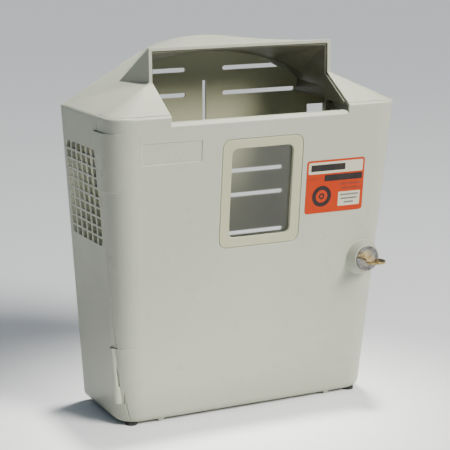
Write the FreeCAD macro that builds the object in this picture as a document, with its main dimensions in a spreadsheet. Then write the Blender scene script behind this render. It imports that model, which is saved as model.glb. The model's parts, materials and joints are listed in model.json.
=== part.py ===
import FreeCAD, Part
import math
import os

from FreeCAD import Placement, Rotation, Vector

# Locking wall cabinet for a sharps container, in millimetres.
# +X is to the right seen from the front, the front faces -Y and +Z is up. The origin is
# the middle of the bounding box's floor: the feet stand on z = 0.

SIZES = {
    # cabinet envelope
    "cabinet_width": 305, "cabinet_depth": 133, "shoulder_height": 300, "rear_plane": 76,
    "side_draft": 16.6, "front_draft": 33.8, "corner_radius": 23, "base_round": 8,
    "wall": 3, "foot_height": 3,
    # hood above the shoulder
    "hood_half_width": 96.5, "hood_setback": 44, "hood_rise": 59, "hood_foot_rise": 27,
    "cheek_half_width": 105, "cheek_depth": 54, "cheek_rise": 23.5, "arch_half_width": 60.6,
    "arch_spring_rise": 51.5, "arch_rise": 61, "eave_round": 3.4,
    # how far the roof's slopes and eaves drop for each millimetre they move inward
    "slope_drop_share": 1.15, "eave_drop_share": 0.57,
    # parting line of the door
    "parting_depth": 37.5, "parting_gap": 0.8, "door_top_drop": 3.5, "eave_gap": 0.4,
    "door_top_rise": 1.2, "door_top_round": 2.7, "lip_drop": 6, "lip_depth": 9, "lip_height": 5.5,
    "lip_round": 4,
    # hinge
    "hinge_depth": 42.5, "hinge_inboard": 2, "barrel_radius": 4, "pin_radius": 1.5,
    "pin_clearance": 0.06, "ear_gap": 0.5, "barrel_slot_x": -0.8,
    "upper_ear_bottom": 231, "upper_ear_height": 55.5,
    "lower_ear_bottom": 21.5, "lower_ear_height": 55.5,
    "lug_height": 20, "lug_radius": 2.9, "lug_arm_x": 5, "lug_arm_width": 2.6, "lug_arm_reach": 13,
    "notch_reach": 6, "lug_room_gap": 0.3, "lug_bite": 0.5, "lug_foot": 2,
    # back panel
    "panel_thickness": 3, "panel_margin": 3.5, "flange_width": 12, "flange_thickness": 3,
    "slot_height": 4.5, "slot_inner_x": 20.5, "slot_length": 69, "wide_slot_length": 83,
    "slot_row_top": 327, "slot_row_second": 301.6, "slot_row_third": 220,
    "slot_row_fourth": 194.6, "slot_row_low": 154.4,
    "centre_slot_width": 4, "centre_slot_bottom": 240, "centre_slot_height": 75.5,
    "port_x": 128.5, "port_width": 20, "port_rise": 264, "port_height": 20,
    "panel_screw_radius": 1.6, "panel_screw_head": 3.2, "panel_screw_head_height": 2,
    "panel_screw_inset": 7.4, "screw_hole_gap": 0.2,
    "slope_screw_x": 128,
    # drop chute
    "chute_thickness": 1.4, "chute_setback": 2.5, "chute_fit": 0.05, "chute_lip_gap": 9,
    "chute_mouth_play": 0.5, "chute_toe_in": 1.5, "chute_overrun": 0.05,
    "chute_rear_half_width": 107, "chute_rear_shoulder": 13, "chute_rear_spring": 29,
    "chute_rear_spring_x": 92.5, "chute_rear_apex": 47,
    # side vents
    "vent_columns": 6, "vent_rows": 10, "vent_pitch_y": 13.8, "vent_pitch_z": 9.4,
    "vent_bar_y": 3, "vent_bar_z": 2, "vent_rear_inset": 7.6, "vent_top": 267.4, "vent_round": 6,
    # window
    "window_x": 2.6, "window_rise": 221.4, "window_width": 65, "window_height": 88,
    "window_round": 6, "bezel_width": 86.2, "bezel_height": 107.6, "bezel_round": 9,
    "bezel_depth": 1.5, "bezel_gap": 0.7, "bezel_edge_round": 0.5, "bezel_opening_round": 1,
    "pane_margin": 5, "pane_thickness": 2,
    "clip_length": 14, "clip_width": 9, "clip_thickness": 1.2, "clip_screw_radius": 1.25,
    "clip_screw_head": 2.6, "clip_overlap": 4, "clip_gap": 0.2, "small_head_height": 1.4,
    "small_hole_gap": 0.15,
    # printed label and its neighbour, the blank name recess
    "label_x": 82.9, "label_rise": 220.2, "label_width": 64.4, "label_height": 53.4,
    "label_thickness": 0.3,
    "recess_x": -91.2, "recess_rise": 266.3, "recess_width": 60.2, "recess_height": 20.3,
    "recess_depth": 0.8,
    # cam lock
    "lock_x": 119.7, "lock_rise": 143.8, "boss_length": 10.4, "boss_foot_radius": 19,
    "boss_face_radius": 13.6, "lock_head_radius": 12.2, "lock_head_thickness": 1.6,
    "lock_barrel_radius": 9.4, "lock_barrel_length": 33.6, "lock_hole_gap": 0.1,
    "plug_radius": 6.9, "plug_clearance": 0.08,
    "plug_head_radius": 8.6, "plug_head_depth": 0.9, "plug_head_gap": 0.1,
    "nut_width": 24, "nut_thickness": 4.5, "washer_radius": 12.4, "washer_thickness": 0.8,
    "seat_radius": 15, "seat_depth": 7.2,
    "cam_length": 16.6, "cam_width": 12, "cam_thickness": 2, "cam_square": 7, "cam_gap": 0.3,
    "cam_screw_radius": 1.9, "cam_screw_head": 4.2, "cam_screw_head_height": 2.4,
    "cam_screw_depth": 6,
    "cam_washer_radius": 5.2,
    "strike_height": 26, "strike_reach": 8, "strike_leg": 15, "strike_thickness": 2,
    "strike_screw_radius": 1.7, "strike_screw_head": 3.2, "strike_screw_spacing": 15,
    "strike_fit": 0.3, "strike_setback": 1,
    # key
    "keyway_width": 8.4, "keyway_thickness": 2.2, "key_thickness": 2, "blade_width": 8,
    "blade_length": 24, "neck_width": 9.6, "neck_gap": 0.4, "bow_radius": 9.5, "bow_hole_radius": 2.6,
    # drive recesses in the screw heads
    "drive_width": 0.9, "drive_depth": 1, "drive_share": 1.3,
    # underside
    "foot_radius": 6, "foot_x": 121, "foot_front_y": -12, "foot_rear_y": 64,
    "rib_x": 92, "rib_width": 5.5, "rib_height": 1.6, "rib_front_y": -18, "rib_length": 76,
}

FRONT = Vector(0, -1, 0)
SIDEWAYS = Rotation(Vector(1, 0, 0), 90)      # turns a cylinder's axis from +Z to -Y

doc = FreeCAD.newDocument("sharps_cabinet")
sheet = doc.addObject("Spreadsheet::Sheet", "Sizes")
for row, (alias, number) in enumerate(SIZES.items(), start=1):
    sheet.set(f"A{row}", alias)
    sheet.set(f"B{row}", str(number))
    sheet.setAlias(f"B{row}", alias)
doc.recompute()


def size(alias):
    return float(getattr(sheet, alias))


# --- places worked out from the driving sizes ------------------------------------------

BASE = size("foot_height")
SHOULDER = BASE + size("shoulder_height")
REAR = size("rear_plane")
FRONT_TOP = REAR - size("cabinet_depth")
WALL = size("wall")
SEAM = FRONT_TOP + size("parting_depth")
RIM = FRONT_TOP + size("hood_setback")
DOOR_TOP = SHOULDER - size("door_top_drop")
SIDE_TILT = math.degrees(math.atan2(size("side_draft"), size("shoulder_height")))
FRONT_TILT = math.degrees(math.atan2(size("front_draft"), size("shoulder_height")))
FAR = 400                                      # longer than the cabinet, for cutting boxes


def half_width(z):
    return size("cabinet_width") / 2 - size("side_draft") * (SHOULDER - z) / size("shoulder_height")


def front_y(z):
    return FRONT_TOP + size("front_draft") * (SHOULDER - z) / size("shoulder_height")


LOCK_Z = BASE + size("lock_rise")
LOCK_SEAT = front_y(LOCK_Z) - size("boss_length")      # face of the boss, under the lock's head
HINGE_FOOT = Vector(-half_width(BASE) + size("hinge_inboard"), FRONT_TOP + size("hinge_depth"), BASE)
HINGE_AXIS = Vector(-math.sin(math.radians(SIDE_TILT)), 0, math.cos(math.radians(SIDE_TILT)))
HINGE_TURN = Rotation(Vector(0, 1, 0), -SIDE_TILT)


def hinge_point(z):
    return HINGE_FOOT + HINGE_AXIS * ((z - BASE) / HINGE_AXIS.z)


def on_front(x, z):
    """A place on the leaning front: local X right, Y into the cabinet, Z up the face."""
    return Placement(Vector(x, front_y(z), z), Rotation(Vector(1, 0, 0), FRONT_TILT))


# --- parametric helpers -----------------------------------------------------------------

nodes = []


def bind(item, **expressions):
    for name, expression in expressions.items():
        item.setExpression(name, expression)
    return item


def add_box(name, length, width, height, place):
    item = bind(doc.addObject("Part::Box", name), Length=length, Width=width, Height=height)
    item.Placement = place
    return item


def add_cylinder(name, radius, height, place):
    item = bind(doc.addObject("Part::Cylinder", name), Radius=radius, Height=height)
    item.Placement = place
    return item


def add_cut(name, base, *tools):
    item = doc.addObject("Part::Cut", name)
    item.Base = base
    item.Tool = tools[0] if len(tools) == 1 else add_fuse(name + "_tools", *tools)
    return item


def add_fuse(name, *pieces):
    item = doc.addObject("Part::MultiFuse", name)
    item.Shapes = list(pieces)
    return item


def add_group(name, *pieces):
    item = doc.addObject("Part::Compound", name)
    item.Links = list(pieces)
    return item


def add_shape(name, shape):
    item = doc.addObject("Part::Feature", name)
    item.Shape = shape
    return item


def keep(label, item):
    item.Label = label
    nodes.append(item)
    return item


# --- moulded solids ---------------------------------------------------------------------

def plan_wire(half, front, rear, radius, z):
    """Plan outline with two round front corners and square rear ones."""
    reach = radius * (1 - math.sqrt(0.5))
    rear_left, rear_right = Vector(-half, rear, z), Vector(half, rear, z)
    side_left, side_right = Vector(-half, front + radius, z), Vector(half, front + radius, z)
    face_left, face_right = Vector(-half + radius, front, z), Vector(half - radius, front, z)
    turn_left, turn_right = Vector(-half + reach, front + reach, z), Vector(half - reach, front + reach, z)
    return Part.Wire([
        Part.makeLine(rear_left, side_left),
        Part.Arc(side_left, turn_left, face_left).toShape(),
        Part.makeLine(face_left, face_right),
        Part.Arc(face_right, turn_right, side_right).toShape(),
        Part.makeLine(side_right, rear_right),
        Part.makeLine(rear_right, rear_left),
    ])


def tapered_block(inset, front_inset, bottom, top, rear):
    """Block whose front and sides lean; the insets shrink its sides and its front."""
    return Part.makeLoft([
        plan_wire(half_width(z) - inset, front_y(z) + front_inset, rear, size("corner_radius") - inset, z)
        for z in (bottom, top)
    ], True, True)


def rounded_rim(block, level, rear, radius):
    """The block with the edges at one level rounded, apart from the rear one."""
    edges = [
        edge for edge in block.Edges
        if all(abs(vertex.Z - level) < 0.01 for vertex in edge.Vertexes)
        and not all(abs(vertex.Y - rear) < 0.01 for vertex in edge.Vertexes)
    ]
    return block.makeFillet(radius, edges)


def tub(inset, bottom, top, rear, round_radius):
    """Tapered block with a rounded bottom edge."""
    return rounded_rim(tapered_block(inset, inset, bottom, top, rear), bottom, rear, round_radius)


def solid_from(faces):
    shell = Part.makeShell(faces)
    shell.sewShape()
    solid = Part.makeSolid(shell)
    if solid.Volume < 0:
        solid.reverse()
    return solid


def polygon(*points):
    return Part.Face(Part.makePolygon(list(points) + [points[0]]))


def roof(inset, rear, rim):
    """Hipped roof with a straight rim in front and an arch at the rear."""
    slope_drop = size("slope_drop_share") * inset
    eave = SHOULDER - size("eave_drop_share") * inset
    half, hood = half_width(SHOULDER) - inset, size("hood_half_width") - inset
    front = FRONT_TOP + inset
    radius = size("corner_radius") - inset
    foot_z = SHOULDER + size("hood_foot_rise") - slope_drop
    rim_z = SHOULDER + size("hood_rise") - inset
    cheek_z = SHOULDER + size("cheek_rise") - slope_drop
    spring_z = SHOULDER + size("arch_spring_rise") - slope_drop
    apex_z = SHOULDER + size("arch_rise") - inset
    spring_x = size("arch_half_width") - inset / 2

    faces, outline = [], []
    for side in (-1, 1):
        foot, top = Vector(side * hood, rim, foot_z), Vector(side * hood, rim, rim_z)
        cheek = Vector(side * (size("cheek_half_width") - inset), RIM + size("cheek_depth"), cheek_z)
        spring = Vector(side * spring_x, rear, spring_z)
        eave_rear = Vector(side * half, rear, eave)
        corner = [
            Vector(side * (half - radius + radius * math.sin(turn)),
                   front + radius - radius * math.cos(turn), eave)
            for turn in (math.radians(degrees) for degrees in range(0, 91, 15))
        ]
        fan = [Vector(side * hood, front, eave)] + corner
        for start, end in zip(fan, fan[1:]):
            faces.append(polygon(foot, start, end))
        faces += [polygon(foot, fan[-1], eave_rear), polygon(foot, eave_rear, cheek),
                  polygon(cheek, eave_rear, spring), polygon(foot, cheek, top), polygon(top, cheek, spring)]
        outline.append((foot, top, spring, eave_rear, fan))
    left, right = outline
    arch = Part.Arc(left[2], Vector(0, rear, apex_z), right[2]).toShape()
    faces.append(Part.makeRuledSurface(Part.makeLine(left[1], right[1]), arch))
    faces.append(polygon(left[0], right[0], right[1], left[1]))
    faces.append(polygon(left[4][0], right[4][0], right[0], left[0]))
    faces.append(Part.Face(Part.Wire([
        Part.makeLine(left[3], left[2]), arch, Part.makeLine(right[2], right[3]),
        Part.makeLine(right[3], left[3]),
    ])))
    faces.append(polygon(*(left[4] + [left[3], right[3]] + right[4][::-1])))
    return solid_from(faces)


def rear_face(offset):
    """The rear outline of the cabinet as a face on the plane y = 0, shrunk by offset."""
    spring_x, spring_z = size("arch_half_width"), SHOULDER + size("arch_spring_rise")
    corners = [
        Vector(-half_width(BASE), 0, BASE), Vector(-half_width(SHOULDER), 0, SHOULDER),
        Vector(-spring_x, 0, spring_z),
        Vector(spring_x, 0, spring_z),
        Vector(half_width(SHOULDER), 0, SHOULDER), Vector(half_width(BASE), 0, BASE),
    ]
    arch = Part.Arc(corners[2], Vector(0, 0, SHOULDER + size("arch_rise")), corners[3]).toShape()
    lines = [Part.makeLine(corners[i], corners[i + 1]) for i in (0, 1)] + [arch]
    lines += [Part.makeLine(corners[i], corners[i + 1]) for i in (3, 4)]
    lines.append(Part.makeLine(corners[5], corners[0]))
    face = Part.Face(Part.Wire(lines))
    return face.makeOffset2D(-offset) if offset else face


def rear_slab(offset, start, thickness):
    slab = rear_face(offset).extrude(Vector(0, thickness, 0))
    slab.translate(Vector(0, start, 0))
    return slab


def block_between(x, y, z):
    return Part.makeBox(x[1] - x[0], y[1] - y[0], z[1] - z[0], Vector(x[0], y[0], z[0]))


def vent_holes():
    """Grids of square holes through both side walls, with round outer corners."""
    pitch_y, pitch_z = size("vent_pitch_y"), size("vent_pitch_z")
    hole_y, hole_z = pitch_y - size("vent_bar_y"), pitch_z - size("vent_bar_z")
    columns, rows = int(size("vent_columns")), int(size("vent_rows"))
    rear, top = REAR - size("vent_rear_inset"), BASE + size("vent_top")
    reach = size("cabinet_width") / 2 + WALL
    holes = []
    for column in range(columns):
        for row in range(rows):
            y, z = rear - column * pitch_y, top - row * pitch_z
            holes.append(block_between((-reach, reach), (y - hole_y, y), (z - hole_z, z)))
    grid = block_between((-reach, reach), (rear - columns * pitch_y + size("vent_bar_y"), rear),
                         (top - rows * pitch_z + size("vent_bar_z"), top))
    edges = [edge for edge in grid.Edges if edge.BoundBox.XLength > reach]
    grid = grid.makeFillet(size("vent_round"), edges)
    inner = half_width(BASE) - 5 * WALL
    grid = grid.cut(block_between((-inner, inner), (-FAR, FAR), (0, FAR)))
    return grid.common(Part.makeCompound(holes))


def rounded_window(width, height, radius, depth, place):
    """A block with round corners, standing on the leaning front face."""
    block = block_between((-width / 2, width / 2), depth, (-height / 2, height / 2))
    edges = [edge for edge in block.Edges if abs(edge.BoundBox.YLength - (depth[1] - depth[0])) < 0.01]
    block = block.makeFillet(radius, edges)
    block.Placement = place
    return block


EARS = {
    "upper": (size("upper_ear_bottom"), size("upper_ear_height")),
    "lower": (size("lower_ear_bottom"), size("lower_ear_height")),
}


def along_hinge(radius, start, height):
    """A rod round the hinge axis, from a height above the base."""
    rod = Part.makeCylinder(radius, height)
    rod.Placement = Placement(hinge_point(BASE + start), HINGE_TURN)
    return rod


def ear_solid(start, height):
    """Raised pad that fades into the door's corner, ending in a barrel round the hinge axis."""
    proud = size("barrel_radius") - size("hinge_inboard")
    skin = tapered_block(-proud, 0, BASE, SHOULDER, REAR)
    skin = skin.cut(tapered_block(1, 1, BASE, SHOULDER, REAR))
    ahead = size("parting_depth") - size("hinge_depth") - size("parting_gap")
    zone = block_between((-FAR / 8, size("barrel_radius")), (-FAR / 8, 0), (0, height))
    zone = zone.fuse(block_between((0, size("corner_radius")), (-FAR / 8, ahead), (0, height)))
    zone.Placement = Placement(hinge_point(BASE + start), HINGE_TURN)
    return along_hinge(size("barrel_radius"), start, height).fuse(skin.common(zone))


def lug_start(start, height):
    return start + (height - size("lug_height")) / 2


def hinge_lugs():
    """Hooked lugs on the cabinet that stand between the halves of each door barrel."""
    near, reach = size("lug_arm_x"), size("lug_arm_reach")
    far, lug_height = near + size("lug_arm_width"), size("lug_height")
    lugs = []
    for start, height in EARS.values():
        low = lug_start(start, height)
        arms = [
            block_between((0, far), (-size("lug_arm_width"), 0), (0, lug_height)),
            block_between((near, far), (-size("lug_arm_width"), reach), (0, lug_height)),
            block_between((-size("lug_bite"), far), (size("notch_reach") + size("lug_foot"), reach),
                          (0, lug_height)),
        ]
        for arm in arms:
            arm.Placement = Placement(hinge_point(BASE + low), HINGE_TURN)
        lugs.append(along_hinge(size("lug_radius"), low, lug_height).fuse(arms))
    return lugs


def pin_holes():
    holes = []
    for start, height in EARS.values():
        radius = size("pin_radius") + size("pin_clearance")
        holes.append(along_hinge(radius, start - 1, height + 2))
    return holes


def hinge_notches():
    """Room in the cabinet's side wall for each ear to swing."""
    gap = size("ear_gap")
    notches = []
    for start, height in EARS.values():
        notch = block_between((-FAR / 8, size("barrel_radius") + 1), (-FAR / 8, size("notch_reach")),
                              (0, height + 2 * gap))
        notch.Placement = Placement(hinge_point(BASE + start - gap), HINGE_TURN)
        notches.append(notch)
    return notches


def door_zone(margin):
    """Everything in front of the parting plane and below the roof."""
    return block_between((-FAR, FAR), (-FAR, SEAM - margin), (-FAR, DOOR_TOP - margin))


def eave_zone():
    """Room for the door's rounded top edge, which closes in front of the roof's edge."""
    inset = WALL + size("eave_gap")
    band = block_between((-FAR, FAR), (-FAR, SEAM), (DOOR_TOP - 1, SHOULDER + WALL))
    return band.cut(tapered_block(inset, inset, DOOR_TOP - WALL, SHOULDER + 2 * WALL, REAR))


def rounded_eaves(block):
    """The cabinet's outer form with its two long side creases rounded."""
    half = half_width(SHOULDER)

    def on_crease(vertex):
        return abs(vertex.Z - SHOULDER) < 0.01 and abs(abs(vertex.X) - half) < 0.01

    edges = [
        edge for edge in block.Edges
        if all(on_crease(vertex) for vertex in edge.Vertexes)
        and size("corner_radius") < edge.Length < size("cabinet_depth")
    ]
    return block.makeFillet(size("eave_round"), edges)


def make_body_shell():
    inner_rear = REAR - size("panel_thickness") - size("flange_thickness")
    outer = tub(0, BASE, SHOULDER, REAR, size("base_round")).fuse(roof(0, REAR, RIM)).removeSplitter()
    outer = rounded_eaves(outer)
    eave = SHOULDER - size("eave_drop_share") * WALL
    hollow = tub(WALL, BASE + WALL, eave, inner_rear, size("base_round") - WALL)
    hollow = hollow.fuse(roof(WALL, inner_rear, RIM - 1))
    shell = outer.cut(hollow)
    half, z = size("hood_half_width") - WALL, SHOULDER + size("hood_rise") - WALL
    mouth = block_between((-half, half), (-FAR, RIM), (DOOR_TOP - WALL, z))
    rebate = rear_slab(WALL, REAR - size("panel_thickness"), FAR)
    rear_opening = rear_slab(size("flange_width"), inner_rear - 1, FAR)
    cutters = [mouth, rebate, rear_opening, vent_holes(), door_zone(0), eave_zone()] + hinge_notches()
    shell = shell.cut(cutters)
    ribs = []
    for side in (-1, 1):
        middle, half = side * size("rib_x"), size("rib_width") / 2
        ribs.append(block_between((middle - half, middle + half),
                                  (size("rib_front_y"), size("rib_front_y") + size("rib_length")),
                                  (BASE - size("rib_height"), BASE + 1)))
    shell = shell.fuse(hinge_lugs() + ribs).cut(pin_holes())
    holes = [screw_rod(x, z, size("panel_screw_radius"), inner_rear - 1, REAR)
             for x, z in panel_screw_places()]
    holes += [strike_rod(offset, size("strike_screw_radius"), 0, WALL - 1) for offset in (-1, 1)]
    return shell.cut(holes).removeSplitter()


def door_lip():
    """Rolled lip along the door's top between the cheeks of the hood."""
    top, radius = SHOULDER - size("lip_drop"), size("lip_round")
    low, middle = top - size("lip_height"), top - radius
    front = front_y(middle)
    bend = radius * (1 - math.sqrt(0.5))
    half = size("hood_half_width") - WALL
    start = [Vector(-half, y, z) for y, z in (
        (front_y(low), low), (front, middle), (front + bend, top - bend), (front + radius, top),
        (front + size("lip_depth"), top), (front + size("lip_depth"), low))]
    outline = Part.Wire([
        Part.makeLine(start[0], start[1]), Part.Arc(start[1], start[2], start[3]).toShape(),
        Part.makeLine(start[3], start[4]), Part.makeLine(start[4], start[5]),
        Part.makeLine(start[5], start[0]),
    ])
    notch = block_between((-half, half), (-FAR, SEAM), (low, FAR))
    return notch, Part.Face(outline).extrude(Vector(2 * half, 0, 0))


def make_door():
    gap = size("parting_gap")
    top = SHOULDER + size("door_top_rise")
    block = tub(0, BASE, top, REAR, size("base_round"))
    block = rounded_rim(block, top, REAR, size("door_top_round"))
    hollow = tub(WALL, BASE + WALL, top + 1, REAR, size("base_round") - WALL)
    notch, lip = door_lip()
    door = block.cut([hollow, notch]).common(block_between((-FAR, FAR), (-FAR, SEAM - gap), (-FAR, FAR)))
    boss = Part.makeCone(size("boss_foot_radius"), size("boss_face_radius"), size("boss_length") + 2,
                         Vector(size("lock_x"), LOCK_SEAT + size("boss_length") + 2, LOCK_Z), FRONT)
    seat_end = front_y(LOCK_Z) + size("seat_depth")
    seat = Part.makeCylinder(size("seat_radius"), size("seat_depth"),
                             Vector(size("lock_x"), seat_end, LOCK_Z), FRONT)
    seat = seat.common(tub(1, BASE + 1, SHOULDER, REAR, size("base_round") - 1))
    ears = [ear_solid(*ear) for ear in EARS.values()]
    door = door.fuse([lip, boss, seat] + ears)
    cutters = [Part.makeCylinder(size("lock_barrel_radius") + size("lock_hole_gap"), FAR / 2,
                                 Vector(size("lock_x"), 0, LOCK_Z), FRONT)]
    window = on_front(size("window_x"), BASE + size("window_rise"))
    cutters.append(rounded_window(size("window_width"), size("window_height"), size("window_round"),
                                  (-WALL, 2 * WALL), window))
    cutters.append(rounded_window(size("bezel_width"), size("bezel_height"), size("bezel_round"),
                                  (-WALL, size("bezel_depth")), window))
    cutters.append(rounded_window(size("recess_width"), size("recess_height"), 1,
                                  (-WALL, size("recess_depth")),
                                  on_front(size("recess_x"), BASE + size("recess_rise"))))
    for start, height in EARS.values():
        low = lug_start(start, height) - size("ear_gap")
        room_height = size("lug_height") + 2 * size("ear_gap")
        slot = block_between((size("barrel_slot_x"), 2 * size("barrel_radius")),
                             (-size("barrel_radius"), FAR / 8), (0, room_height))
        slot.Placement = Placement(hinge_point(BASE + low), HINGE_TURN)
        room = along_hinge(size("lug_radius") + size("lug_room_gap"), low, room_height)
        cutters += [slot, room]
    cutters += pin_holes()
    return door.cut(cutters).removeSplitter()


def make_chute():
    """Liner from the rim back to the rear flange: ceiling and two cheeks, open below."""
    thickness = size("chute_thickness")
    inner_rear = REAR - size("panel_thickness") - size("flange_thickness")
    front = RIM + size("chute_setback")

    def section(y, points, apex):
        left = [Vector(-x, y, z) for x, z in points]
        right = [Vector(x, y, z) for x, z in points]
        crown = Part.Arc(left[-1], Vector(0, y, apex), right[-1]).toShape()
        edges = [Part.makeLine(left[i], left[i + 1]) for i in range(len(left) - 1)] + [crown]
        edges += [Part.makeLine(right[i + 1], right[i]) for i in reversed(range(len(right) - 1))]
        edges.append(Part.makeLine(right[0], left[0]))
        return Part.Wire(edges)

    def tunnel(inset, start, end, foot):
        half = size("hood_half_width") - WALL + size("chute_mouth_play") - inset
        top = SHOULDER + size("hood_rise") - WALL + size("chute_mouth_play") - inset
        near = [(half, foot), (half, SHOULDER + size("chute_rear_shoulder")), (half, top - 1)]
        far = [(size("chute_rear_half_width") - size("chute_toe_in") - inset, foot),
               (size("chute_rear_half_width") - inset, SHOULDER + size("chute_rear_shoulder") - inset / 2),
               (size("chute_rear_spring_x") - inset, SHOULDER + size("chute_rear_spring") - inset)]
        return Part.makeLoft([section(start, near, top),
                              section(end, far, SHOULDER + size("chute_rear_apex") - inset)], True, True)

    def under_roof(inset):
        return roof(WALL + size("chute_fit") + inset, inner_rear + inset, RIM - 1)

    def cheeks(inset, foot):
        half = size("hood_half_width") - WALL - size("chute_fit") - inset
        return block_between((-half, half), (FRONT_TOP + size("chute_lip_gap") - inset, front + inset),
                             (foot, SHOULDER + size("hood_foot_rise") - WALL))

    outer = tunnel(0, front, inner_rear, SHOULDER).fuse(cheeks(0, SHOULDER)).common(under_roof(0))
    over = size("chute_overrun")
    inner = tunnel(thickness + size("chute_mouth_play"), front - over, inner_rear + over, SHOULDER - 1)
    inner = inner.common(under_roof(thickness))
    return outer.cut([inner, cheeks(thickness, SHOULDER - 1)]).removeSplitter()


def panel_screw_places():
    """Screw places round the rear flange, mirrored left and right."""
    inset = size("panel_screw_inset")
    places = []
    for rise in (inset, size("shoulder_height") / 2, size("shoulder_height") - 2 * inset):
        z = BASE + rise
        places += [(side * (half_width(z) - inset), z) for side in (-1, 1)]
    run, rise = half_width(SHOULDER) - size("arch_half_width"), size("arch_spring_rise")
    slope_x = size("slope_screw_x")
    slope_z = SHOULDER + (half_width(SHOULDER) - slope_x) * rise / run - inset * math.hypot(run, rise) / run
    places += [(side * slope_x, slope_z) for side in (-1, 1)]
    return places


def screw_rod(x, z, radius, start, end):
    return Part.makeCylinder(radius, end - start, Vector(x, end, z), FRONT)


def strike_place(offset, inboard):
    """A place on a strike screw's axis, inboard of the right side wall; +X is outward."""
    z = LOCK_Z + offset * size("strike_screw_spacing") / 2
    turn = Rotation(Vector(0, 1, 0), SIDE_TILT)
    wall_place = Vector(half_width(z) - WALL, strike_screw_y(), z)
    return Placement(wall_place - turn.multVec(Vector(inboard, 0, 0)), turn)


def strike_rod(offset, radius, inboard, length):
    """A rod through the strike's leg, square to the right side wall."""
    place = strike_place(offset, inboard)
    return Part.makeCylinder(radius, length, place.Base, place.Rotation.multVec(Vector(1, 0, 0)))


def strike_screw_y():
    return SEAM + size("strike_leg") / 2 + size("strike_setback")


# --- cabinet ----------------------------------------------------------------------------

keep("body_shell", add_shape("BodyShell", make_body_shell()))

panel_y = REAR - size("panel_thickness")


def add_slot(name, length, x, z):
    """A round-ended slot through the panel, its middle at x, z."""
    depth = "Sizes.panel_thickness * 3"
    front, radius = panel_y - size("panel_thickness"), size("slot_height") / 2
    reach = size(length) / 2 - radius
    bar = add_box(f"{name}_bar", f"Sizes.{length} - Sizes.slot_height", depth, "Sizes.slot_height",
                  Placement(Vector(x - reach, front, z - radius), Rotation()))
    ends = [add_cylinder(f"{name}_end{side + 1}", "Sizes.slot_height / 2", depth,
                         Placement(Vector(x + side * reach, REAR + size("panel_thickness"), z), SIDEWAYS))
            for side in (-1, 1)]
    return add_fuse(name, bar, *ends)


def make_back_panel():
    """Rear plate with its mounting slots; it drops into the shell's rebate."""
    plate = add_shape("PanelBlank", rear_slab(size("panel_margin"), panel_y, size("panel_thickness")))
    cutters = []
    rows = {"slot_row_top": "slot_length", "slot_row_second": "wide_slot_length",
            "slot_row_third": "slot_length", "slot_row_fourth": "slot_length", "slot_row_low": "slot_length"}
    for row_name, length in rows.items():
        for side, label in ((-1, "left"), (1, "right")):
            x = side * (size("slot_inner_x") + size(length) / 2)
            cutters.append(add_slot(f"{row_name}_{label}", length, x, BASE + size(row_name)))
    for side in (-1, 1):
        x = side * size("port_x") - size("port_width") / 2
        cutters.append(add_box(f"Port{side + 1}", "Sizes.port_width", "Sizes.panel_thickness * 3",
                               "Sizes.port_height",
                               Placement(Vector(x, panel_y - size("panel_thickness"), BASE + size("port_rise")),
                                         Rotation())))
    cutters.append(add_box("CentreSlot", "Sizes.centre_slot_width", "Sizes.panel_thickness * 3",
                           "Sizes.centre_slot_height",
                           Placement(Vector(-size("centre_slot_width") / 2, panel_y - size("panel_thickness"),
                                            BASE + size("centre_slot_bottom")), Rotation())))
    for index, (x, z) in enumerate(panel_screw_places()):
        cutters.append(add_cylinder(f"PanelHole{index}", "Sizes.panel_screw_radius + Sizes.screw_hole_gap",
                                    "Sizes.panel_thickness * 3",
                                    Placement(Vector(x, REAR + size("panel_thickness"), z), SIDEWAYS)))
        sink = bind(doc.addObject("Part::Cone", f"PanelSink{index}"), Height="Sizes.panel_screw_head_height",
                    Radius1="Sizes.panel_screw_head + Sizes.screw_hole_gap",
                    Radius2="Sizes.panel_screw_radius + Sizes.screw_hole_gap")
        sink.Placement = Placement(Vector(x, REAR, z), SIDEWAYS)
        cutters.append(sink)
    return add_cut("BackPanel", plate, *cutters)


keep("back_panel", make_back_panel())


def front_box(name, length, width, height, place, x, depth, z):
    """A bound box with its middle at x, z of the given place and its front at depth."""
    item = add_box(name, length, width, height, Placement())
    doc.recompute()
    offset = Vector(x - float(item.Length) / 2, depth, z - float(item.Height) / 2)
    item.Placement = place.multiply(Placement(offset, Rotation()))
    return item


def cross_recess(name, head_radius, place, x, face, z):
    """The two arms of a drive recess in a head that looks along +Y of the given place."""
    arm, width = f"{head_radius} * Sizes.drive_share", "Sizes.drive_width"
    start = face - size("drive_depth")
    return [front_box(f"{name}_drive_{length > height}", length, "Sizes.drive_depth + 1", height,
                      place, x, start, z) for length, height in ((arm, width), (width, arm))]


def make_panel_screw(index, x, z):
    head = bind(doc.addObject("Part::Cone", f"PanelScrewHead{index}"), Radius1="Sizes.panel_screw_head",
                Radius2="Sizes.panel_screw_radius", Height="Sizes.panel_screw_head_height")
    head.Placement = Placement(Vector(x, REAR, z), SIDEWAYS)
    shank = add_cylinder(f"PanelScrewShank{index}", "Sizes.panel_screw_radius",
                         "Sizes.panel_thickness + Sizes.flange_thickness + 1",
                         Placement(Vector(x, REAR, z), SIDEWAYS))
    return add_cut(f"PanelScrew{index}", add_fuse(f"PanelScrewBlank{index}", head, shank),
                   *cross_recess(f"PanelScrew{index}", "Sizes.panel_screw_head", Placement(), x, REAR, z))


keep("back_panel_screws", add_group("PanelScrews", *[
    make_panel_screw(index, x, z) for index, (x, z) in enumerate(panel_screw_places())]))
keep("drop_chute", add_shape("DropChute", make_chute()))


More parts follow.
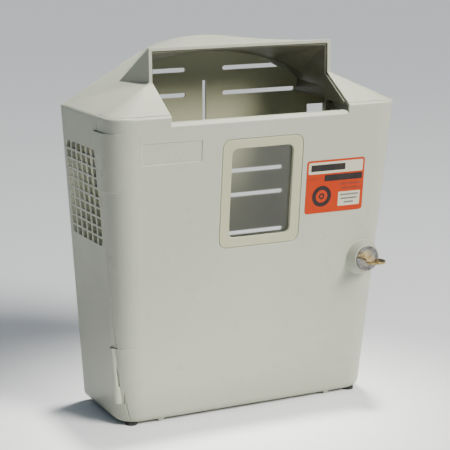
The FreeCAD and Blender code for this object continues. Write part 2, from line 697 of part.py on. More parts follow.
def make_strike():
    """Angle plate on the right wall; its inner leg keeps the cam from coming forward."""
    inner_x = half_width(LOCK_Z) - WALL
    turn = Rotation(Vector(0, 1, 0), SIDE_TILT)
    origin = Vector(inner_x, 0, LOCK_Z)

    def local_box(name, length, width, height, x, y):
        offset = turn.multVec(Vector(x, 0, -size("strike_height") / 2))
        return add_box(name, length, width, height, Placement(origin + offset + Vector(0, y, 0), turn))

    leg = local_box("StrikeLeg", "Sizes.strike_thickness", "Sizes.strike_leg", "Sizes.strike_height",
                    -size("strike_thickness") - size("strike_fit"), SEAM + size("strike_setback"))
    hook = local_box("StrikeHook", "Sizes.strike_reach + Sizes.strike_thickness", "Sizes.strike_thickness",
                     "Sizes.strike_height",
                     -size("strike_thickness") - size("strike_reach") - size("strike_fit"),
                     SEAM + size("strike_setback"))
    hole_radius = size("strike_screw_radius") + size("small_hole_gap")
    inboard = size("strike_thickness") + WALL
    holes = [add_shape(f"StrikeHole{offset + 1}", strike_rod(offset, hole_radius, inboard, inboard + WALL))
             for offset in (-1, 1)]
    return add_cut("Strike", add_fuse("StrikeAngle", leg, hook), *holes)


keep("strike_plate", make_strike())


def make_strike_screw(index, offset):
    """Round-head screw through the strike into the cabinet's wall."""
    face, height = size("strike_thickness") + size("strike_fit"), size("small_head_height")
    head = strike_rod(offset, size("strike_screw_head"), face + height, height)
    shank = strike_rod(offset, size("strike_screw_radius"), face + height / 2, face + height / 2 + WALL - 1)
    reach, half = size("strike_screw_head") * size("drive_share") / 2, size("drive_width") / 2
    arms = [block_between((-1, size("drive_depth")), (-wide, wide), (-tall, tall))
            for wide, tall in ((reach, half), (half, reach))]
    for arm in arms:
        arm.Placement = strike_place(offset, face + height)
    return add_shape(f"StrikeScrew{index}", head.fuse(shank).cut(arms))


keep("strike_screws", add_group("StrikeScrews", *[
    make_strike_screw(index, offset) for index, offset in enumerate((-1, 1))]))

# --- door -------------------------------------------------------------------------------

keep("door", add_shape("Door", make_door()))

for name, (start, height) in EARS.items():
    pin = bind(doc.addObject("Part::Cylinder", f"HingePin_{name}"), Radius="Sizes.pin_radius",
               Height=f"Sizes.{name}_ear_height")
    pin.Placement = Placement(hinge_point(BASE + start), HINGE_TURN)
    keep(f"hinge_pin_{name}", pin)

window_place = on_front(size("window_x"), BASE + size("window_rise"))




def make_bezel():
    """Snap-in frame round the window, flush with the door and a little smaller than its recess."""
    gap, depth = size("bezel_gap"), (0, size("bezel_depth"))
    rim = rounded_window(size("bezel_width") - 2 * gap, size("bezel_height") - 2 * gap,
                         size("bezel_round") - gap, depth, Placement())
    opening = rounded_window(size("window_width"), size("window_height"), size("window_round"),
                             (-1, 2 * WALL), Placement())
    ring = rim.cut(opening)
    front = [edge for edge in ring.Edges if edge.BoundBox.YMax < 0.01]
    half_x, half_z = size("window_width") / 2 + 0.1, size("window_height") / 2 + 0.1

    def round_opening(edge):
        box = edge.BoundBox
        return max(abs(box.XMin), abs(box.XMax)) < half_x and max(abs(box.ZMin), abs(box.ZMax)) < half_z

    ring = ring.makeFillet(size("bezel_opening_round"), [edge for edge in front if round_opening(edge)])
    ring = ring.makeFillet(size("bezel_edge_round"), [
        edge for edge in ring.Edges if edge.BoundBox.YMax < 0.01 and on_bezel_rim(edge)])
    ring.Placement = window_place
    return ring


def on_bezel_rim(edge):
    """Whether an edge runs along the outer outline of the window's frame."""
    box = edge.BoundBox
    width, height = size("bezel_width") / 2, size("bezel_height") / 2
    inner = size("bezel_opening_round") + 1
    beside = max(abs(box.XMin), abs(box.XMax)) > width - size("bezel_gap") - inner
    above = max(abs(box.ZMin), abs(box.ZMax)) > height - size("bezel_gap") - inner
    return beside or above


keep("window_bezel", add_shape("WindowBezel", make_bezel()))

pane_width = "Sizes.window_width + 2 * Sizes.pane_margin"
pane_height = "Sizes.window_height + 2 * Sizes.pane_margin"
keep("window_pane", front_box("WindowPane", pane_width, "Sizes.pane_thickness", pane_height,
                              window_place, 0, WALL, 0))

pane_edge = size("window_height") / 2 + size("pane_margin")
clip_z = pane_edge - size("clip_overlap") + size("clip_length") / 2
clip_depth = WALL + size("pane_thickness")
clip_x = size("window_width") / 2 - size("clip_width")
clip_places = [(side_x * clip_x, side_z) for side_x in (-1, 1) for side_z in (-1, 1)]


def make_clip(index, x, side):
    """Stepped clip: one end bears on the pane, the other is screwed to the door."""
    tongue = front_box(f"ClipTongue{index}", "Sizes.clip_width", "Sizes.clip_thickness", "Sizes.clip_length",
                       window_place, x, clip_depth, side * clip_z)
    heel_z = side * (clip_z + size("clip_overlap") / 2 + size("clip_gap"))
    heel = front_box(f"ClipHeel{index}", "Sizes.clip_width", "Sizes.pane_thickness",
                     "Sizes.clip_length - Sizes.clip_overlap - 2 * Sizes.clip_gap",
                     window_place, x, WALL, heel_z)
    hole = add_cylinder(f"ClipHole{index}", "Sizes.clip_screw_radius + Sizes.small_hole_gap",
                        "Sizes.wall * 3", clip_screw_place(x, side, clip_depth + 2 * WALL))
    return add_cut(f"Clip{index}", add_fuse(f"ClipPlate{index}", tongue, heel), hole)


def clip_screw_place(x, side, depth):
    offset = Vector(x, depth, side * (clip_z + size("clip_overlap") / 2))
    return window_place.multiply(Placement(offset, SIDEWAYS))


keep("pane_clips", add_group("PaneClips", *[
    make_clip(index, x, side) for index, (x, side) in enumerate(clip_places)]))


def make_clip_screw(index, x, side):
    top = clip_depth + size("clip_thickness")
    head = add_cylinder(f"ClipScrewHead{index}", "Sizes.clip_screw_head", "Sizes.small_head_height",
                        clip_screw_place(x, side, top + size("small_head_height")))
    shank = add_cylinder(f"ClipScrewShank{index}", "Sizes.clip_screw_radius",
                         "Sizes.clip_thickness + Sizes.pane_thickness", clip_screw_place(x, side, top))
    middle = side * (clip_z + size("clip_overlap") / 2)
    return add_cut(f"ClipScrew{index}", add_fuse(f"ClipScrewBlank{index}", head, shank),
                   *cross_recess(f"ClipScrew{index}", "Sizes.clip_screw_head", window_place,
                                 x, top + size("small_head_height"), middle))


keep("pane_clip_screws", add_group("ClipScrews", *[
    make_clip_screw(index, x, side) for index, (x, side) in enumerate(clip_places)]))
keep("warning_label", front_box("WarningLabel", "Sizes.label_width", "Sizes.label_thickness",
                                "Sizes.label_height", on_front(size("label_x"), BASE + size("label_rise")),
                                0, -size("label_thickness"), 0))

# --- cam lock ---------------------------------------------------------------------------

LOCK_FACE = LOCK_SEAT - size("lock_head_thickness")
BARREL_END = LOCK_SEAT + size("lock_barrel_length")
CAM_END = BARREL_END + size("cam_gap") + size("cam_thickness")


def lock_cylinder(name, radius, height, end):
    """A bound cylinder on the lock's axis, its rear end at y = end."""
    return add_cylinder(name, radius, height, Placement(Vector(size("lock_x"), end, LOCK_Z), SIDEWAYS))


housing = add_fuse("LockHousingBlank",
                   lock_cylinder("LockHead", "Sizes.lock_head_radius", "Sizes.lock_head_thickness",
                                 LOCK_SEAT),
                   lock_cylinder("LockBarrel", "Sizes.lock_barrel_radius", "Sizes.lock_barrel_length",
                                 BARREL_END))
keep("lock_housing", add_cut(
    "LockHousing", housing,
    lock_cylinder("PlugBore", "Sizes.plug_radius + Sizes.plug_clearance",
                  "Sizes.lock_barrel_length + Sizes.lock_head_thickness + 2", BARREL_END + 1),
    lock_cylinder("PlugHeadBore", "Sizes.plug_head_radius + Sizes.plug_clearance",
                  "Sizes.plug_head_depth + Sizes.plug_head_gap + 1",
                  LOCK_FACE + size("plug_head_depth") + size("plug_head_gap"))))

washer_start = front_y(LOCK_Z) + size("seat_depth")
nut_start = washer_start + size("washer_thickness")
keep("lock_washer", add_cut(
    "LockWasher",
    lock_cylinder("WasherDisc", "Sizes.washer_radius", "Sizes.washer_thickness", nut_start),
    lock_cylinder("WasherBore", "Sizes.lock_barrel_radius", "Sizes.washer_thickness * 3",
                  nut_start + size("washer_thickness"))))
hexagon = doc.addObject("Part::Prism", "NutHexagon")
hexagon.Polygon = 6
bind(hexagon, Circumradius="Sizes.nut_width / sqrt(3)", Height="Sizes.nut_thickness")
hexagon.Placement = Placement(Vector(size("lock_x"), nut_start + size("nut_thickness"), LOCK_Z), SIDEWAYS)
keep("lock_nut", add_cut("LockNut", hexagon,
                         lock_cylinder("NutBore", "Sizes.lock_barrel_radius", "Sizes.nut_thickness * 3",
                                       nut_start + 2 * size("nut_thickness"))))


def lock_box(name, length, width, height, x, y, z):
    """A bound box by the lock's axis; x and z are its low corner from the axis."""
    return add_box(name, length, width, height,
                   Placement(Vector(size("lock_x") + x, y, LOCK_Z + z), Rotation()))


square = size("cam_square")
plug_blank = add_fuse(
    "PlugBlank",
    lock_cylinder("PlugHead", "Sizes.plug_head_radius", "Sizes.plug_head_depth",
                  LOCK_FACE + size("plug_head_depth")),
    lock_cylinder("PlugRod", "Sizes.plug_radius", "Sizes.lock_barrel_length + Sizes.lock_head_thickness",
                  BARREL_END),
    lock_box("PlugSquare", "Sizes.cam_square", "Sizes.cam_thickness + 1", "Sizes.cam_square",
             -square / 2, CAM_END - size("cam_thickness") - 1, -square / 2))
keep("lock_plug", add_cut(
    "LockPlug", plug_blank,
    lock_box("Keyway", "Sizes.keyway_width", "Sizes.blade_length + 2", "Sizes.keyway_thickness",
             -size("keyway_width") / 2, LOCK_FACE - 1, -size("keyway_thickness") / 2),
    lock_cylinder("CamScrewHole", "Sizes.cam_screw_radius", "Sizes.cam_screw_depth + 1", CAM_END + 1)))


def make_cam():
    """Flat cam, square hole on the plug's end; it hangs down when unlocked."""
    half = size("cam_width") / 2
    start = CAM_END - size("cam_thickness")
    arm = lock_box("CamArm", "Sizes.cam_width", "Sizes.cam_thickness", "Sizes.cam_length",
                   -half, start, -size("cam_length"))
    boss = lock_cylinder("CamRound", "Sizes.cam_width / 2 + 1", "Sizes.cam_thickness", CAM_END)
    hole = lock_box("CamHole", "Sizes.cam_square", "Sizes.cam_thickness * 3", "Sizes.cam_square",
                    -square / 2, start - size("cam_thickness"), -square / 2)
    return add_cut("LockCam", add_fuse("CamBlank", arm, boss), hole)


keep("lock_cam", make_cam())
cam_washer_end = CAM_END + size("washer_thickness")
keep("cam_washer", add_cut(
    "CamWasher",
    lock_cylinder("CamWasherDisc", "Sizes.cam_washer_radius", "Sizes.washer_thickness", cam_washer_end),
    lock_cylinder("CamWasherBore", "Sizes.cam_screw_radius", "Sizes.washer_thickness * 3",
                  cam_washer_end + size("washer_thickness"))))
cam_screw_face = cam_washer_end + size("cam_screw_head_height")
cam_screw_blank = add_fuse(
    "CamScrewBlank",
    lock_cylinder("CamScrewHead", "Sizes.cam_screw_head", "Sizes.cam_screw_head_height", cam_screw_face),
    lock_cylinder("CamScrewShank", "Sizes.cam_screw_radius",
                  "Sizes.washer_thickness + Sizes.cam_screw_depth", cam_washer_end))
keep("cam_screw", add_cut("CamScrew", cam_screw_blank, *cross_recess(
    "CamScrew", "Sizes.cam_screw_head", Placement(), size("lock_x"), cam_screw_face, LOCK_Z)))


def make_key():
    """Flat key: round bow, neck and blade, lying level in the plug."""
    bow_y = -REAR + size("bow_radius")
    thickness = size("key_thickness")
    level = Placement(Vector(size("lock_x"), bow_y, LOCK_Z - thickness / 2), Rotation())
    bow = add_cylinder("KeyBow", "Sizes.bow_radius", "Sizes.key_thickness", level)
    hole_place = Placement(level.Base - Vector(0, size("bow_radius") / 2, thickness), Rotation())
    hole = add_cylinder("KeyBowHole", "Sizes.bow_hole_radius", "Sizes.key_thickness * 3", hole_place)
    neck_end = LOCK_FACE - size("neck_gap")
    neck = add_shape("KeyNeck", block_between(
        (size("lock_x") - size("neck_width") / 2, size("lock_x") + size("neck_width") / 2),
        (bow_y, neck_end), (LOCK_Z - thickness / 2, LOCK_Z + thickness / 2)))
    blade = lock_box("KeyBlade", "Sizes.blade_width", "Sizes.blade_length", "Sizes.key_thickness",
                     -size("blade_width") / 2, neck_end - size("neck_gap") / 2, -thickness / 2)
    return add_cut("Key", add_fuse("KeyBlank", bow, neck, blade), hole)


keep("key", make_key())

# --- underside --------------------------------------------------------------------------

for label, x, y in (("foot_front_left", -1, "foot_front_y"), ("foot_front_right", 1, "foot_front_y"),
                    ("foot_rear_left", -1, "foot_rear_y"), ("foot_rear_right", 1, "foot_rear_y")):
    keep(label, add_cylinder(label + "_pad", "Sizes.foot_radius", "Sizes.foot_height",
                             Placement(Vector(x * size("foot_x"), size(y), 0), Rotation())))

# --- checks and export ------------------------------------------------------------------

doc.recompute()
for item in doc.Objects:
    if "Invalid" in item.State or "Error" in item.State:
        raise RuntimeError(f"{item.Name} did not recompute: {item.State}")
os.makedirs("parts", exist_ok=True)
for item in nodes:
    shape = item.Shape
    if shape.isNull() or not shape.isValid() or not shape.Solids:
        raise RuntimeError(f"{item.Label} has no valid solid")
    shape.exportStep(f"parts/{item.Label}.step")
    box = shape.BoundBox
    print(f"{item.Label:20s} solids {len(shape.Solids):2d} volume {shape.Volume:10.1f} "
          f"size {box.XLength:7.1f} {box.YLength:7.1f} {box.ZLength:7.1f}")
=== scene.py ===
import json
import math

import bmesh
import bpy
from mathutils import Matrix, Vector


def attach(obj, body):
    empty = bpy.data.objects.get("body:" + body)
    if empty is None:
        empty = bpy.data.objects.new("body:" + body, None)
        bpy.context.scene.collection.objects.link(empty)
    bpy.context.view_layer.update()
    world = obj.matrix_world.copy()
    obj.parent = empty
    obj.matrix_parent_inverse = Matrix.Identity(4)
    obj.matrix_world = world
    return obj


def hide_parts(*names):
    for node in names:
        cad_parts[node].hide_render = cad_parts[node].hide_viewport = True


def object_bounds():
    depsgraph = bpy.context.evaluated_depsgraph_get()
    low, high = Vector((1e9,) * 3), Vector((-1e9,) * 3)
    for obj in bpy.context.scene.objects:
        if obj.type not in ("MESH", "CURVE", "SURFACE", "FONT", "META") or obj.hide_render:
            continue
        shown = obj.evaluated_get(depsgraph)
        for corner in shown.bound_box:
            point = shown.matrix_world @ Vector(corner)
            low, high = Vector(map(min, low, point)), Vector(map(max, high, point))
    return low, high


MM = 0.001

# The camera stands in front of the cabinet and to its left, a little above it.
CAMERA_PLACE = Vector((-0.6249, -1.2669, 0.4860))
CAMERA_TURN = math.radians(25.78)
CAMERA_DIP = math.radians(12.11)
CAMERA_ROLL = math.radians(-0.37)
CAMERA_LENS = 117.28
CAMERA_SENSOR = 36.0

FLOOR_SIZE = 24.0
FLOOR_GAP = 0.1 * MM

# The film of the label, and the ink that stands on it.
LABEL_SIZE = (64.4 * MM, 53.4 * MM)
LABEL_THICKNESS = 0.28 * MM
LABEL_CORNER = 3.0 * MM
LABEL_INK = 0.03 * MM
CORNER_STEPS = 6
RING_STEPS = 40

# A face of a flat node is its front when its normal points towards the front by this much.
FACING_FRONT = -0.9

# Paler edges of moulded plastic, part wear and part painted highlight along the rims: how wide,
# how strong, and how much paler than the face.
WEAR_AND_HIGHLIGHT_WIDTH = 1.2 * MM
WEAR_AND_HIGHLIGHT_STRENGTH = 0.80
WEAR_AND_HIGHLIGHT_BRIGHTER = 1.45
DUST_DARKER = 0.86
BEVEL_SAMPLES = 6

# The studio.
WARM_WHITE = (1.0, 0.985, 0.93)
SOFT_WHITE = (1.0, 0.985, 0.94)
SKY_COLOUR = (0.58, 0.76, 1.0, 1.0)
SKY_STRENGTH = 0.18
SUN_DIRECTION = (-0.394, 0.742, -0.545)
SUN_STRENGTH = 3.5
SUN_SOFTNESS = 20.0
CABINET_MIDDLE = (0.0, 0.0, 0.18)
HOOD_MOUTH = (0.0, -0.005, 0.33)
HOOD_CONE = 10.5
SPOT_FADE = 0.9
SPOT_RADIUS = 0.2

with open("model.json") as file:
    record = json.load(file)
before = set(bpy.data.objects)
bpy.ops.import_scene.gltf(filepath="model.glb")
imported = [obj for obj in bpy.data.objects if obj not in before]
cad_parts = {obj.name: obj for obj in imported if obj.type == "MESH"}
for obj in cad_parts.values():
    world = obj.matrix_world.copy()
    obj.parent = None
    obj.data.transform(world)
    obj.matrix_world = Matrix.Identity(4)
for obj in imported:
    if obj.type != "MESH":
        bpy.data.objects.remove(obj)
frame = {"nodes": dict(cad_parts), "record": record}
cad_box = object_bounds()


# ---- node building -----------------------------------------------------------------------------

def new_material(name, roughness, metallic=0.0, specular=0.5):
    """A material with one principled shader, and the tree to add textures to."""
    material = bpy.data.materials.new(name)
    material.use_nodes = True
    shader = material.node_tree.nodes["Principled BSDF"]
    shader.inputs["Roughness"].default_value = roughness
    shader.inputs["Metallic"].default_value = metallic
    shader.inputs["Specular IOR Level"].default_value = specular
    return material, material.node_tree, shader


def add_node(tree, kind, inputs=None, **settings):
    """A node with some of its settings and unlinked inputs filled in."""
    node = tree.nodes.new(kind)
    for key, value in settings.items():
        setattr(node, key, value)
    for key, value in (inputs or {}).items():
        if isinstance(value, bpy.types.NodeSocket):
            tree.links.new(value, node.inputs[key])
        else:
            node.inputs[key].default_value = value
    return node


def object_place(tree, stretch=(1.0, 1.0, 1.0)):
    """The point on the object, in metres, scaled along its axes."""
    coordinates = add_node(tree, "ShaderNodeTexCoord")
    mapping = add_node(tree, "ShaderNodeMapping",
                       {"Vector": coordinates.outputs["Object"], "Scale": stretch})
    return mapping.outputs["Vector"]


def noise(tree, size, detail=2.0, stretch=(1.0, 1.0, 1.0)):
    """A noise whose features are about size metres across."""
    node = add_node(tree, "ShaderNodeTexNoise",
                    {"Vector": object_place(tree, stretch), "Scale": 1.0 / size, "Detail": detail})
    return node.outputs["Fac"]


def spread(tree, value, low, high, to_low=0.0, to_high=1.0):
    """A value stretched from one range to another and kept inside it."""
    node = add_node(tree, "ShaderNodeMapRange",
                    {"Value": value, "From Min": low, "From Max": high,
                     "To Min": to_low, "To Max": to_high})
    return node.outputs["Result"]


def arithmetic(tree, operation, first, second):
    """Two values joined by one operation, such as ADD."""
    node = add_node(tree, "ShaderNodeMath", {0: first, 1: second}, operation=operation)
    return node.outputs["Value"]


def mixed(tree, factor, first, second):
    """Two colours mixed by a factor that varies over the surface."""
    node = add_node(tree, "ShaderNodeMixRGB", {"Fac": factor, "Color1": first, "Color2": second})
    return node.outputs["Color"]


def add_bump(tree, shader, *layers, rounding=0.0):
    """Bumps laid over each other; each layer is (height, strength, depth in metres)."""
    normal = None
    if rounding:
        bevel = add_node(tree, "ShaderNodeBevel", {"Radius": rounding}, samples=BEVEL_SAMPLES)
        normal = bevel.outputs["Normal"]
    for height, strength, depth in layers:
        bump = add_node(tree, "ShaderNodeBump",
                        {"Height": height, "Strength": strength, "Distance": depth})
        if normal is not None:
            tree.links.new(normal, bump.inputs["Normal"])
        normal = bump.outputs["Normal"]
    tree.links.new(normal, shader.inputs["Normal"])


def edge_mask(tree, radius):
    """1 along sharp edges and 0 on flat or gently curved faces."""
    rounded = add_node(tree, "ShaderNodeBevel", {"Radius": radius}, samples=BEVEL_SAMPLES)
    geometry = add_node(tree, "ShaderNodeNewGeometry")
    dot = add_node(tree, "ShaderNodeVectorMath",
                   {0: rounded.outputs["Normal"], 1: geometry.outputs["Normal"]},
                   operation="DOT_PRODUCT")
    return spread(tree, dot.outputs["Value"], 0.995, 0.90)


def colour(red, green, blue):
    """A colour as a socket takes it, with its fourth value."""
    return (red, green, blue, 1.0)


# ---- materials ---------------------------------------------------------------------------------

def moulded_plastic(name, pale, deep, roughness):
    """Moulded plastic: a fine spark texture, slow tone changes, edges painted paler as part wear
    and part painted highlight, and light scuffs.
    """
    material, tree, shader = new_material(name, roughness, specular=0.25)
    tone = noise(tree, 0.11, detail=3.0)
    speck = noise(tree, 0.0016, detail=2.0)
    base = mixed(tree, spread(tree, tone, 0.3, 0.7), pale, deep)
    dust = colour(*[DUST_DARKER * channel for channel in deep[:3]])
    base = mixed(tree, spread(tree, speck, 0.60, 0.78, 0.0, 0.35), base, dust)
    # Painted highlight: edges are mixed towards a paler colour, partly as wear and partly to stand
    # in for light catching the rims.
    rubbed_and_highlit = colour(*[WEAR_AND_HIGHLIGHT_BRIGHTER * channel for channel in pale[:3]])
    wear_and_highlight = arithmetic(tree, "MULTIPLY", edge_mask(tree, WEAR_AND_HIGHLIGHT_WIDTH), WEAR_AND_HIGHLIGHT_STRENGTH)
    base = mixed(tree, wear_and_highlight, base, rubbed_and_highlit)
    tree.links.new(base, shader.inputs["Base Color"])
    streaks = noise(tree, 0.004, detail=4.0, stretch=(1.0, 1.0, 0.12))
    scuffs = spread(tree, streaks, 0.62, 0.72, 0.0, 0.10)
    gloss = spread(tree, noise(tree, 0.03), 0.3, 0.7, roughness - 0.04, roughness + 0.05)
    tree.links.new(arithmetic(tree, "ADD", gloss, scuffs), shader.inputs["Roughness"])
    grain = noise(tree, 0.0006, detail=2.0)
    sink = noise(tree, 0.045, detail=1.0)
    add_bump(tree, shader, (sink, 0.25, 0.3 * MM), (grain, 0.22, 0.05 * MM), rounding=0.7 * MM)
    return material


def plated_metal(name, pale, deep, roughness, brushed=(1.0, 1.0, 1.0)):
    """Metal with a brushed or tumbled grain, and faint spots where the plating has dulled."""
    material, tree, shader = new_material(name, roughness, metallic=1.0)
    stain = noise(tree, 0.004, detail=3.0)
    tree.links.new(mixed(tree, spread(tree, stain, 0.35, 0.7), pale, deep),
                   shader.inputs["Base Color"])
    grain = noise(tree, 0.0007, detail=3.0, stretch=brushed)
    tree.links.new(spread(tree, grain, 0.3, 0.7, roughness - 0.05, roughness + 0.10),
                   shader.inputs["Roughness"])
    add_bump(tree, shader, (grain, 0.18, 0.02 * MM), rounding=0.25 * MM)
    return material


def clear_plastic(name):
    """A clear pane with a faint haze and a few hairline scratches."""
    material, tree, shader = new_material(name, 0.06)
    shader.inputs["Transmission Weight"].default_value = 1.0
    shader.inputs["IOR"].default_value = 1.45
    haze = spread(tree, noise(tree, 0.02, detail=4.0), 0.4, 0.8, 0.02, 0.09)
    tree.links.new(haze, shader.inputs["Roughness"])
    tint = mixed(tree, spread(tree, noise(tree, 0.03), 0.3, 0.7),
                 colour(0.97, 0.98, 0.97), colour(0.94, 0.955, 0.935))
    tree.links.new(tint, shader.inputs["Base Color"])
    scratches = noise(tree, 0.0012, detail=3.0, stretch=(0.05, 1.0, 1.0))
    add_bump(tree, shader, (scratches, 0.04, 0.01 * MM))
    return material


def rubber(name):
    """Dull black rubber with a faint grey bloom."""
    material, tree, shader = new_material(name, 0.75, specular=0.3)
    bloom = noise(tree, 0.003, detail=3.0)
    tree.links.new(mixed(tree, spread(tree, bloom, 0.4, 0.75), colour(0.018, 0.018, 0.020),
                         colour(0.045, 0.044, 0.042)), shader.inputs["Base Color"])
    tree.links.new(spread(tree, bloom, 0.3, 0.7, 0.68, 0.85), shader.inputs["Roughness"])
    add_bump(tree, shader, (noise(tree, 0.0008, detail=3.0), 0.4, 0.08 * MM), rounding=0.4 * MM)
    return material


def printed_film(name, ink, worn):
    """Ink on a label film: satin, with a fine screen-print grain and faded patches."""
    material, tree, shader = new_material(name, 0.38, specular=0.20)
    fade = spread(tree, noise(tree, 0.012, detail=4.0), 0.42, 0.72, 0.0, 0.6)
    tree.links.new(mixed(tree, fade, ink, worn), shader.inputs["Base Color"])
    grain = noise(tree, 0.0005, detail=2.0)
    tree.links.new(spread(tree, grain, 0.3, 0.7, 0.33, 0.44), shader.inputs["Roughness"])
    add_bump(tree, shader, (grain, 0.1, 0.02 * MM))
    return material


def floor_material():
    """Matt pale paper with a very slow change of tone."""
    material, tree, shader = new_material("floor_paper", 0.9, specular=0.2)
    tone = noise(tree, 0.5, detail=2.0)
    tree.links.new(mixed(tree, tone, colour(0.90, 0.90, 0.91), colour(0.88, 0.88, 0.89)),
                   shader.inputs["Base Color"])
    return material


MATERIALS = {
    "shell_plastic": moulded_plastic(
        "shell_plastic", colour(0.380, 0.392, 0.312), colour(0.352, 0.365, 0.288), 0.32),
    "door_plastic": moulded_plastic(
        "door_plastic", colour(0.382, 0.394, 0.316), colour(0.352, 0.364, 0.290), 0.30),
    "panel_plastic": moulded_plastic(
        "panel_plastic", colour(0.385, 0.385, 0.255), colour(0.360, 0.361, 0.235), 0.36),
    # Painted shade: the liner inside the hood is coloured far darker than the shell, standing in
    # for the shade in the hood's hollow.
    "chute_plastic": moulded_plastic(
        "chute_plastic", colour(0.180, 0.177, 0.128), colour(0.155, 0.152, 0.108), 0.34),
    "window_clear": clear_plastic("window_clear"),
    "label_film": printed_film(
        "label_film", colour(0.36, 0.026, 0.0004), colour(0.39, 0.040, 0.002)),
    "lock_chrome": plated_metal(
        "lock_chrome", colour(0.30, 0.29, 0.29), colour(0.09, 0.085, 0.08), 0.14),
    "lock_zinc": plated_metal(
        "lock_zinc", colour(0.36, 0.34, 0.28), colour(0.20, 0.19, 0.15), 0.28),
    "key_brass": plated_metal(
        "key_brass", colour(0.50, 0.37, 0.15), colour(0.26, 0.18, 0.07), 0.25),
    "pin_steel": plated_metal(
        "pin_steel", colour(0.58, 0.58, 0.59), colour(0.44, 0.44, 0.45), 0.28,
        brushed=(1.0, 1.0, 0.05)),
    "foot_rubber": rubber("foot_rubber"),
}


def dress_cad_nodes():
    """Each CAD node takes the material of its slot in the record."""
    for part in frame["record"]["subparts"]:
        node = frame["nodes"][part["node"]]
        node.data.materials.clear()
        node.data.materials.append(MATERIALS[part["material_slot"]])


# ---- modelled pieces ---------------------------------------------------------------------------

def front_frame(node):
    """Middle, right, up and outward directions of a flat node's front face."""
    mesh = node.data
    faces = [face for face in mesh.polygons if face.normal.y < FACING_FRONT]
    outward = sum((face.normal * face.area for face in faces), Vector()).normalized()
    corners = [mesh.vertices[index].co for face in faces for index in face.vertices]
    low = Vector([min(corner[axis] for corner in corners) for axis in range(3)])
    high = Vector([max(corner[axis] for corner in corners) for axis in range(3)])
    right = Vector((1.0, 0.0, 0.0))
    return (low + high) / 2, right, outward.cross(right), outward


def rounded_outline(low, high, radius):
    """Points round a rectangle with rounded corners, anticlockwise."""
    points = []
    corners = ((high[0], high[1]), (low[0], high[1]), (low[0], low[1]), (high[0], low[1]))
    for turn, (x, y) in enumerate(corners):
        middle_x = x - radius if turn in (0, 3) else x + radius
        middle_y = y - radius if turn in (0, 1) else y + radius
        for step in range(CORNER_STEPS + 1):
            angle = math.radians(90 * (turn + step / CORNER_STEPS))
            points.append((middle_x + radius * math.cos(angle),
                           middle_y + radius * math.sin(angle)))
    return points


def ring_outline(middle, radius):
    """Points round a circle, anticlockwise."""
    return [(middle[0] + radius * math.cos(2 * math.pi * step / RING_STEPS),
             middle[1] + radius * math.sin(2 * math.pi * step / RING_STEPS))
            for step in range(RING_STEPS)]


def raise_outline(work, outline, base, height, material):
    """A thin closed plate over an outline, standing from base to base + height."""
    low = [work.verts.new((x, y, base)) for x, y in outline]
    high = [work.verts.new((x, y, base + height)) for x, y in outline]
    faces = [work.faces.new(low[::-1]), work.faces.new(high)]
    for index in range(len(outline)):
        after = (index + 1) % len(outline)
        faces.append(work.faces.new((low[index], low[after], high[after], high[index])))
    for face in faces:
        face.material_index = material


def raise_ring(work, middle, inner, outer, base, height, material):
    """A flat closed ring standing from base to base + height."""
    top = base + height
    loops = [[work.verts.new((x, y, z)) for x, y in ring_outline(middle, radius)]
             for radius, z in ((inner, base), (outer, base), (outer, top), (inner, top))]
    for loop, following in zip(loops, loops[1:] + loops[:1]):
        for index in range(len(loop)):
            after = (index + 1) % len(loop)
            face = work.faces.new((loop[index], loop[after], following[after], following[index]))
            face.material_index = material


def mesh_piece(name, work, place, materials):
    """An object from a bmesh, its local axes turned and moved by place."""
    bmesh.ops.recalc_face_normals(work, faces=work.faces)
    bmesh.ops.transform(work, matrix=place, verts=work.verts)
    mesh = bpy.data.meshes.new(name)
    work.to_mesh(mesh)
    work.free()
    for material in materials:
        mesh.materials.append(material)
    piece = bpy.data.objects.new(name, mesh)
    bpy.context.scene.collection.objects.link(piece)
    return piece


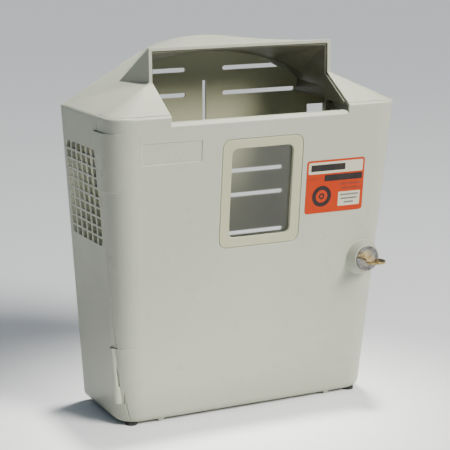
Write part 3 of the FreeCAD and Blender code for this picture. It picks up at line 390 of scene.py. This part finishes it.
def add_label():
    """A plain printed film in place of the label: panels, bars and rings, and no lettering."""
    node = frame["nodes"]["warning_label"]
    middle, right, up, outward = front_frame(node)
    width, height = LABEL_SIZE
    place = Matrix.Translation(middle) @ Matrix((right, up, outward)).transposed().to_4x4()
    orange, cream, black, brown, grey = range(5)
    ink_base = -LABEL_INK - LABEL_INK / 2
    work = bmesh.new()
    half_x, half_y = width / 2, height / 2
    raise_outline(work, rounded_outline((-half_x, -half_y), (half_x, half_y), LABEL_CORNER),
                  -LABEL_THICKNESS, LABEL_THICKNESS - LABEL_INK, orange)

    def panel(x, y, length, tall, ink, radius=0.4, level=0.5):
        """A printed panel. Its left and top edges are x and y from the label's top left, in mm.

        The corner radius is in mm too. A higher level lets a panel show on top of another.
        """
        low = (-half_x + x * MM, half_y - (y + tall) * MM)
        high = (-half_x + (x + length) * MM, half_y - y * MM)
        raise_outline(work, rounded_outline(low, high, radius * MM), ink_base,
                      LABEL_INK * (0.5 + level), ink)

    panel(2.0, 2.0, 60.4, 11.6, cream, 1.4)
    panel(4.6, 4.4, 38.0, 6.6, black, 0.6, 0.9)
    panel(20.0, 15.2, 42.4, 6.4, black, 0.6)
    panel(2.0, 17.9, 16.0, 0.9, brown)
    panel(36.0, 24.4, 25.0, 2.2, brown)
    panel(39.0, 28.8, 22.0, 2.2, brown)
    panel(36.6, 33.6, 24.4, 14.4, cream, 0.8)
    for row, (start, length) in enumerate(((38.4, 20.6), (39.4, 18.2), (43.4, 10.6))):
        panel(start, 35.8 + 3.9 * row, length, 1.8, grey, 0.4, 0.9)
    ring_middle = (-half_x + 18.0 * MM, half_y - 36.4 * MM)
    raise_ring(work, ring_middle, 6.4 * MM, 10.6 * MM, ink_base, LABEL_INK, black)
    raise_ring(work, ring_middle, 1.4 * MM, 3.2 * MM, ink_base, LABEL_INK, black)
    label = mesh_piece("printed_label", work, place, [
        MATERIALS["label_film"],
        printed_film("label_cream", colour(0.47, 0.46, 0.34), colour(0.42, 0.40, 0.28)),
        printed_film("label_black", colour(0.016, 0.014, 0.014), colour(0.035, 0.026, 0.022)),
        printed_film("label_brown", colour(0.20, 0.030, 0.014), colour(0.30, 0.050, 0.022)),
        printed_film("label_grey", colour(0.13, 0.13, 0.12), colour(0.20, 0.19, 0.17)),
    ])
    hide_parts("warning_label")
    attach(label, "door")


# ---- studio ------------------------------------------------------------------------------------

def add_floor():
    """A wide plain floor just under the feet."""
    mesh = bpy.data.meshes.new("floor")
    half = FLOOR_SIZE / 2
    corners = [(-half, -half, 0.0), (half, -half, 0.0), (half, half, 0.0), (-half, half, 0.0)]
    mesh.from_pydata(corners, [], [(0, 1, 2, 3)])
    floor = bpy.data.objects.new("floor", mesh)
    floor.location.z = cad_box[0][2] - FLOOR_GAP
    mesh.materials.append(floor_material())
    bpy.context.scene.collection.objects.link(floor)


def stand_light(name, data, place, aim, tint):
    """Puts a light at a place and turns it to face a point."""
    data.color = tint
    lamp = bpy.data.objects.new(name, data)
    lamp.location = place
    lamp.rotation_euler = (Vector(aim) - Vector(place)).to_track_quat("-Z", "Y").to_euler()
    bpy.context.scene.collection.objects.link(lamp)


def add_lamp(name, place, size, power, tint):
    """A soft square light that faces the cabinet's middle."""
    data = bpy.data.lights.new(name, "AREA")
    data.shape = "SQUARE"
    data.size = size
    data.energy = power
    stand_light(name, data, place, CABINET_MIDDLE, tint)


def add_sun(name, toward, strength, softness, tint):
    """A distant light that shines along a direction; its softness is in degrees."""
    data = bpy.data.lights.new(name, "SUN")
    data.energy = strength
    data.angle = math.radians(softness)
    stand_light(name, data, (0.0, 0.0, 0.0), toward, tint)


def add_spot(name, place, aim, cone, power, tint):
    """A soft-edged beam that faces a point; its cone is in degrees."""
    data = bpy.data.lights.new(name, "SPOT")
    data.spot_size = math.radians(cone)
    data.spot_blend = SPOT_FADE
    data.shadow_soft_size = SPOT_RADIUS
    data.energy = power
    stand_light(name, data, place, aim, tint)


def add_lights():
    """A faint blue sky, a sun and a lamp from the front, a lamp above, and a beam on the hood."""
    world = bpy.data.worlds.new("studio")
    bpy.context.scene.world = world
    world.use_nodes = True
    background = world.node_tree.nodes["Background"]
    background.inputs["Color"].default_value = SKY_COLOUR
    background.inputs["Strength"].default_value = SKY_STRENGTH
    add_sun("key_sun", SUN_DIRECTION, SUN_STRENGTH, SUN_SOFTNESS, WARM_WHITE)
    add_lamp("key_light", (0.80, -1.45, 1.40), 0.9, 30.0, WARM_WHITE)
    add_lamp("top_light", (0.25, -0.30, 2.0), 1.2, 10.0, SOFT_WHITE)
    add_spot("hood_light", (0.20, 0.12, 2.4), HOOD_MOUTH, HOOD_CONE, 900.0, SOFT_WHITE)


def add_camera():
    """The camera, from where it stands and how it is turned, dipped and rolled."""
    forward = Vector((math.sin(CAMERA_TURN) * math.cos(CAMERA_DIP),
                      math.cos(CAMERA_TURN) * math.cos(CAMERA_DIP),
                      -math.sin(CAMERA_DIP)))
    right = Vector((math.cos(CAMERA_TURN), -math.sin(CAMERA_TURN), 0.0))
    up = right.cross(forward)
    rolled_right = math.cos(CAMERA_ROLL) * right + math.sin(CAMERA_ROLL) * up
    rolled_up = math.cos(CAMERA_ROLL) * up - math.sin(CAMERA_ROLL) * right
    data = bpy.data.cameras.new("camera")
    data.lens = CAMERA_LENS
    data.sensor_width = CAMERA_SENSOR
    data.clip_start = 0.05
    data.clip_end = 60.0
    camera = bpy.data.objects.new("camera", data)
    turn = Matrix((rolled_right, rolled_up, -forward)).transposed()
    camera.matrix_world = Matrix.Translation(CAMERA_PLACE) @ turn.to_4x4()
    bpy.context.scene.collection.objects.link(camera)
    bpy.context.scene.camera = camera


dress_cad_nodes()
add_label()
add_floor()
add_lights()
add_camera()
